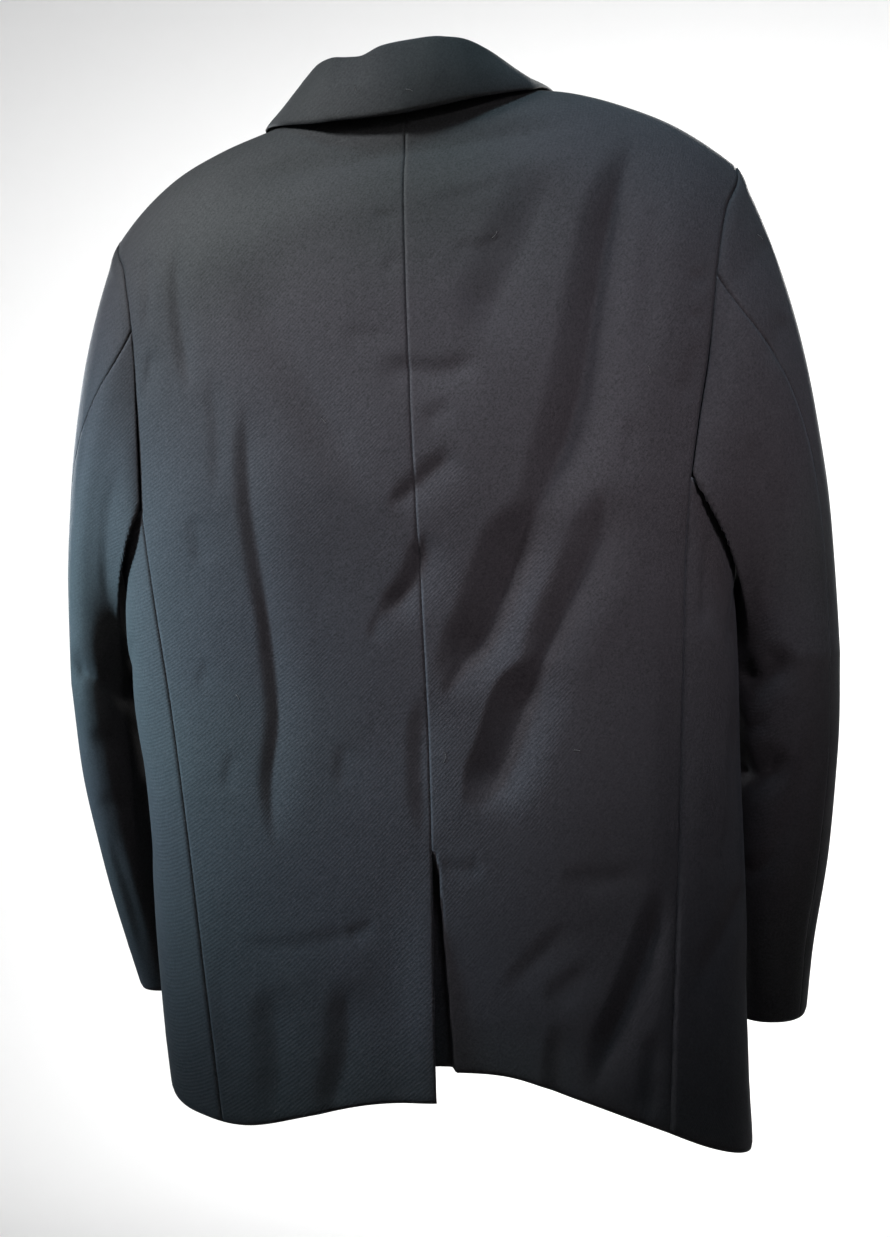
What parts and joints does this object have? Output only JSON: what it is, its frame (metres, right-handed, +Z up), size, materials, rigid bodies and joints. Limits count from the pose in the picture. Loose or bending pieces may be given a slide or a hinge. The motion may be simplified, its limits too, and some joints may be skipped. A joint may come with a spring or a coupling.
{
  "type": "blazer",
  "caption": "Single-breasted blazer in dark worsted wool, filled out with no wearer, with a centre vent, collar, lapels and two-piece sleeves.",
  "frame": {"origin": "the middle of the neck and shoulders, at the height of the nape, where the garment is held", "axes": "+X to the garment's left side, -Y to its front, +Y to its back, +Z up"},
  "size_m": [0.6333, 0.2602, 0.8509],
  "materials": {
    "suit_wool": "matte worsted weave",
    "button": "satin"
  },
  "bodies": {
    "root": {"back_left": "suit_wool", "back_right": "suit_wool", "side_left": "suit_wool", "side_right": "suit_wool", "front_left": "suit_wool", "front_right": "suit_wool", "lapel_left": "suit_wool", "lapel_right": "suit_wool", "collar": "suit_wool", "top_sleeve_left": "suit_wool", "top_sleeve_right": "suit_wool", "under_sleeve_left": "suit_wool", "under_sleeve_right": "suit_wool", "pocket_flap_left": "suit_wool", "pocket_flap_right": "suit_wool", "breast_welt": "suit_wool", "front_button_upper": "button", "front_button_lower": "button"}
  },
  "joints": []
}
